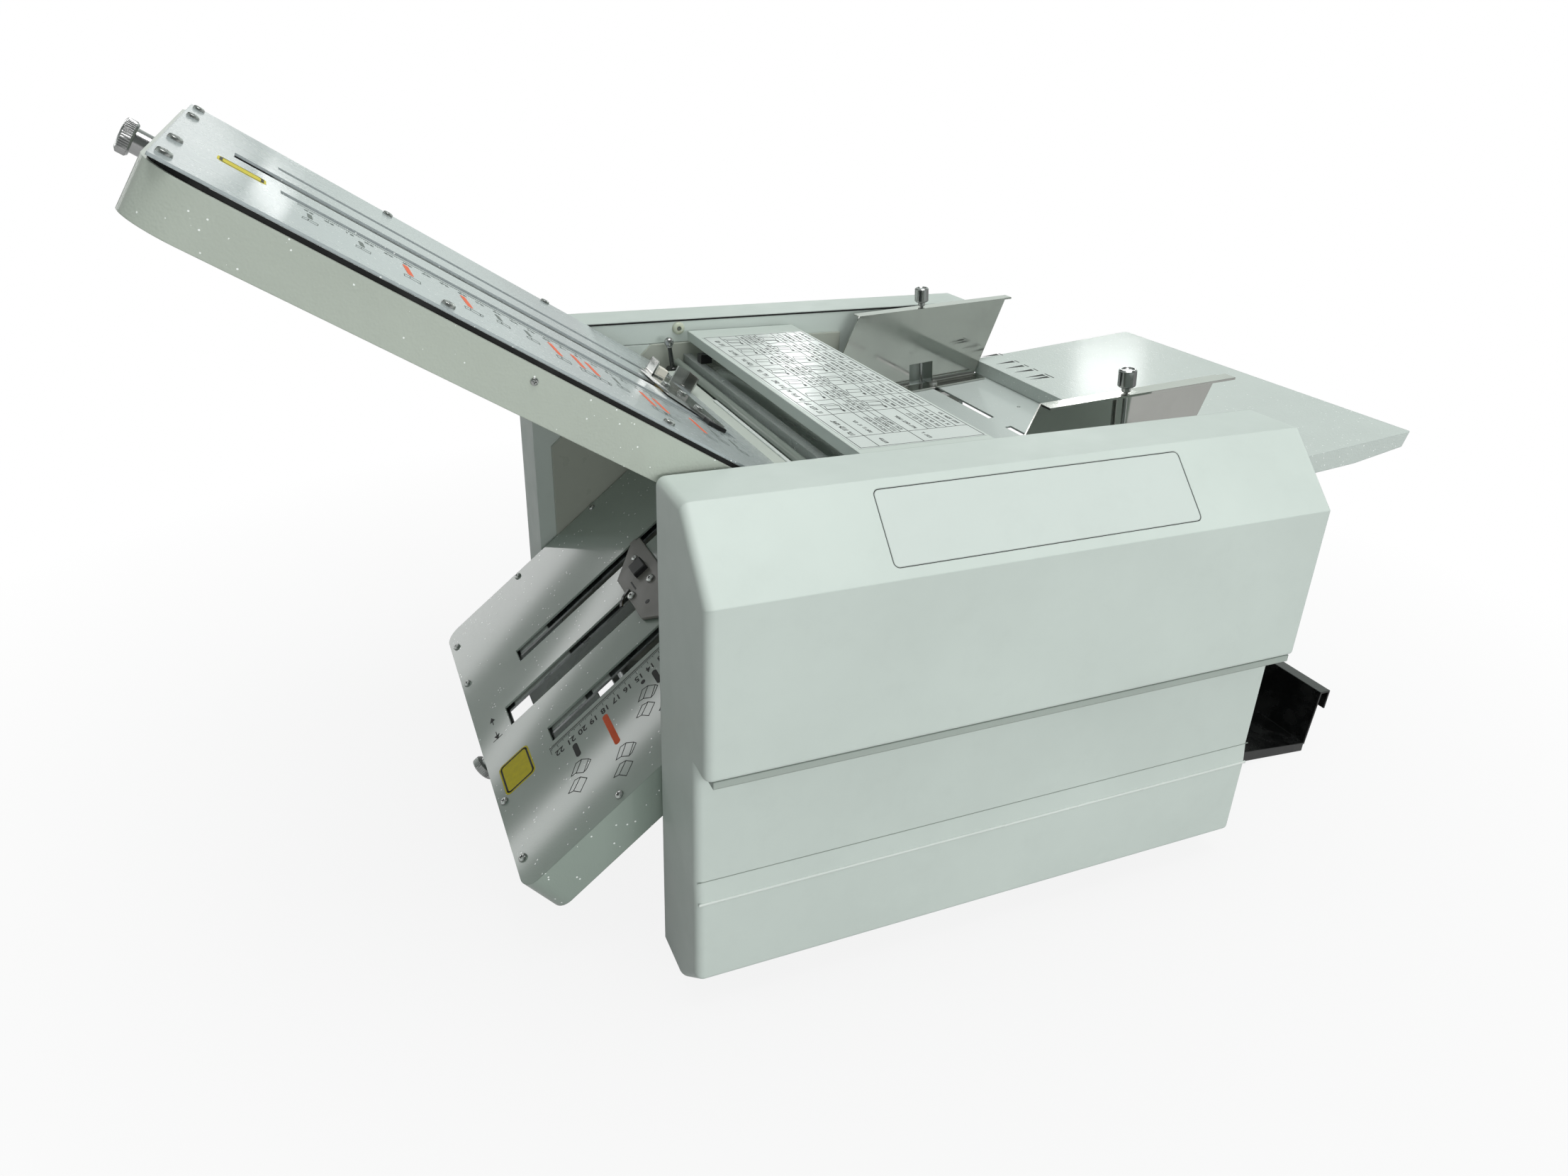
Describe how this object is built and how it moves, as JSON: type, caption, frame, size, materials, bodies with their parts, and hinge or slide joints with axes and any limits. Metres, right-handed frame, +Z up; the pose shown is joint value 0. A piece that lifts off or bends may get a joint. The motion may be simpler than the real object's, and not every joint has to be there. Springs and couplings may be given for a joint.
{
  "type": "paper folding machine",
  "caption": "Desktop paper folding machine with sheet-metal side covers, a sloping feed table with paper guides, slotted fold plates with knob-driven stops and an exit tray.",
  "frame": {"origin": "on the table top under the middle of the machine's overall length and width", "axes": "+X along the paper path towards the feed table, +Y across the machine to the rear side cover, +Z up"},
  "size_m": [0.7938, 0.4756, 0.4666],
  "materials": {
    "cover_paint": "satin enamel with a fine texture",
    "panel_paint": "smooth satin enamel",
    "plate_paint": "speckled powder coat",
    "dark_steel": "satin black enamel",
    "tray_paint": "semi-gloss black enamel",
    "zinc": "dull zinc plating",
    "steel": "ground steel",
    "stainless": "bright polished sheet",
    "knurl": "bright plating",
    "roller_rubber": "matte",
    "feet_rubber": "matte",
    "cork": "matte",
    "gear_plastic": "natural nylon",
    "gear_steel": "cut teeth",
    "clear": "clear acrylic",
    "black_plastic": "fine grain",
    "brass": "turned",
    "motor_paint": "satin"
  },
  "bodies": {
    "chassis": {"base_plate": "zinc", "feet": "feet_rubber", "side_frame_front": "dark_steel", "side_frame_rear": "dark_steel", "tie_rods": "zinc", "front_cover": "cover_paint", "rear_cover": "cover_paint", "cover_panel": "panel_paint", "power_inlet": "black_plastic", "switch_housing": "black_plastic", "feed_table_front": "plate_paint", "feed_table_rear": "plate_paint", "table_rails": "zinc", "motor": "motor_paint", "motor_bracket": "zinc", "infeed_guide": "steel", "separator_pad": "cork", "chart_hinge_pins": "steel", "clear_guard": "clear", "guard_bar": "dark_steel", "upper_plate_top": "plate_paint", "upper_plate_bottom": "zinc", "upper_casing": "plate_paint", "lower_plate_top": "plate_paint", "lower_plate_bottom": "zinc", "bumper": "black_plastic", "exit_chute": "zinc"},
    "roller_2": {"fold_roller_2": "steel", "fold_gear_2": "gear_steel"},
    "roller_1": {"fold_roller_1": "steel", "fold_gear_1": "gear_steel"},
    "roller_3": {"fold_roller_3": "steel", "fold_gear_3": "gear_steel"},
    "roller_4": {"fold_roller_4": "steel", "fold_gear_4": "gear_steel"},
    "idler": {"idler_gear": "gear_plastic"},
    "feed": {"feed_shaft": "steel", "feed_tyres": "roller_rubber", "feed_gear": "gear_plastic"},
    "pinion": {"motor_pinion": "gear_steel"},
    "front_paper_guide": {"front_guide": "stainless", "front_guide_shoe": "steel"},
    "rear_paper_guide": {"rear_guide": "stainless", "rear_guide_shoe": "steel"},
    "front_clamp": {"front_thumb_screw": "knurl"},
    "rear_clamp": {"rear_thumb_screw": "knurl"},
    "chart_lid": {"chart_cover": "cover_paint"},
    "upper_screw": {"upper_lead_screw": "steel", "upper_knob": "knurl"},
    "upper_stop": {"upper_carriage": "plate_paint", "upper_nut": "brass"},
    "lower_screw": {"lower_lead_screw": "steel", "lower_knob": "knurl"},
    "lower_stop": {"lower_carriage": "plate_paint", "lower_nut": "brass"},
    "lever": {"release_lever": "black_plastic"},
    "power_rocker": {"rocker": "black_plastic"},
    "tray": {"exit_tray": "tray_paint"}
  },
  "joints": [
    {"name": "fold_roller_2_spin", "type": "hinge", "parent": "chassis", "child": "roller_2", "pos_m": [-0.0381, 0.00735, 0.2368], "axis": [0, 1, 0], "continuous": true},
    {"name": "fold_roller_1_spin", "type": "hinge", "parent": "chassis", "child": "roller_1", "pos_m": [-0.0222, 0.00735, 0.26224], "axis": [0, 1, 0], "continuous": true},
    {"name": "fold_roller_3_spin", "type": "hinge", "parent": "chassis", "child": "roller_3", "pos_m": [-0.06708, 0.00735, 0.24457], "axis": [0, 1, 0], "continuous": true},
    {"name": "fold_roller_4_spin", "type": "hinge", "parent": "chassis", "child": "roller_4", "pos_m": [-0.04072, 0.00735, 0.20691], "axis": [0, 1, 0], "continuous": true},
    {"name": "idler_spin", "type": "hinge", "parent": "chassis", "child": "idler", "pos_m": [0.00056, 0.18335, 0.27373], "axis": [0, 1, 0], "continuous": true},
    {"name": "feed_shaft_spin", "type": "hinge", "parent": "chassis", "child": "feed", "pos_m": [0.0139, 0.00735, 0.252], "axis": [0, 1, 0], "continuous": true},
    {"name": "motor_spin", "type": "hinge", "parent": "chassis", "child": "pinion", "pos_m": [-0.00363, 0.19735, 0.20788], "axis": [0, 1, 0], "continuous": true},
    {"name": "front_guide_slide", "type": "slide", "parent": "chassis", "child": "front_paper_guide", "axis": [0, 1, 0], "range_m": [-0.042, 0.09]},
    {"name": "rear_guide_slide", "type": "slide", "parent": "chassis", "child": "rear_paper_guide", "axis": [0, 1, 0], "range_m": [-0.088, 0.002]},
    {"name": "front_clamp_turn", "type": "hinge", "parent": "front_paper_guide", "child": "front_clamp", "pos_m": [0.17211, -0.10915, 0.25611], "axis": [-0.088, 0, 0.9961], "range_deg": [-360, 720]},
    {"name": "rear_clamp_turn", "type": "hinge", "parent": "rear_paper_guide", "child": "rear_clamp", "pos_m": [0.17211, 0.16335, 0.25611], "axis": [-0.088, 0, 0.9961], "range_deg": [-360, 720]},
    {"name": "chart_cover_hinge", "type": "hinge", "parent": "chassis", "child": "chart_lid", "pos_m": [0.0409, 0.00735, 0.285], "axis": [0, 1, 0], "range_deg": [0, 100]},
    {"name": "upper_knob_turn", "type": "hinge", "parent": "chassis", "child": "upper_screw", "pos_m": [-0.38136, 0.00735, 0.4513], "axis": [0.848, 0, -0.5299], "range_deg": [-230, 9340]},
    {"name": "upper_stop_slide", "type": "slide", "parent": "chassis", "child": "upper_stop", "axis": [-0.848, 0, 0.5299], "range_m": [-0.0061, 0.2591]},
    {"name": "lower_knob_turn", "type": "hinge", "parent": "chassis", "child": "lower_screw", "pos_m": [-0.24607, 0.00735, 0.04242], "axis": [0.7738, 0, 0.6334], "range_deg": [-1095, 4155]},
    {"name": "lower_stop_slide", "type": "slide", "parent": "chassis", "child": "lower_stop", "axis": [-0.7738, 0, -0.6334], "range_m": [-0.0301, 0.1151]},
    {"name": "release_lever_turn", "type": "hinge", "parent": "chassis", "child": "lever", "pos_m": [-0.0571, 0.16235, 0.271], "axis": [0, 1, 0], "range_deg": [-10, 15]},
    {"name": "rocker_tilt", "type": "hinge", "parent": "chassis", "child": "power_rocker", "pos_m": [0.2224, 0.21235, 0.103], "axis": [0, 1, 0], "range_deg": [-16, 0]},
    {"name": "exit_tray_slide", "type": "slide", "parent": "chassis", "child": "tray", "axis": [1, 0, 0], "range_m": [0, 0.06]}
  ],
  "couplings": [
    {"joint": "fold_roller_1_spin", "follows": "fold_roller_2_spin", "ratio": -1},
    {"joint": "fold_roller_3_spin", "follows": "fold_roller_2_spin", "ratio": -1},
    {"joint": "fold_roller_4_spin", "follows": "fold_roller_2_spin", "ratio": -1},
    {"joint": "idler_spin", "follows": "fold_roller_2_spin", "ratio": 1.4286},
    {"joint": "feed_shaft_spin", "follows": "fold_roller_2_spin", "ratio": -1},
    {"joint": "motor_spin", "follows": "fold_roller_2_spin", "ratio": -4},
    {"joint": "upper_knob_turn", "follows": "upper_stop_slide", "rad_per_m": 628.32},
    {"joint": "lower_knob_turn", "follows": "lower_stop_slide", "rad_per_m": 628.32}
  ]
}
